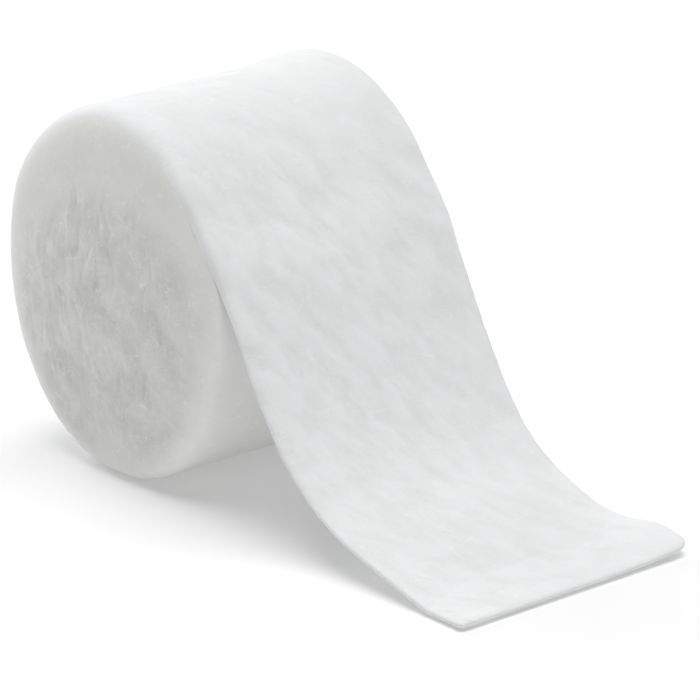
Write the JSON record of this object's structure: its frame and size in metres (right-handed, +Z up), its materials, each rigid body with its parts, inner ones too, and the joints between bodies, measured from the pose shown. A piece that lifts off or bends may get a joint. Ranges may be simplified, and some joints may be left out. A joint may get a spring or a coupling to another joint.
{
  "type": "cast padding roll",
  "caption": "Roll of soft white cast padding lying on its curved side, with the loose end of the strip running over the top and down to the surface.",
  "frame": {"origin": "the middle of the flat spot that the roll rests on, half way along the roll", "axes": "+Z up, +Y along the roll's axis, +X the way the loose end runs out"},
  "size_m": [0.1818, 0.0776, 0.0991],
  "materials": {
    "wadding": "soft matt white polyester wadding, with a faint cloudy mottle and fine loose fibres"
  },
  "bodies": {
    "root": {"wound_roll": "wadding", "loose_end": "wadding"}
  },
  "joints": []
}
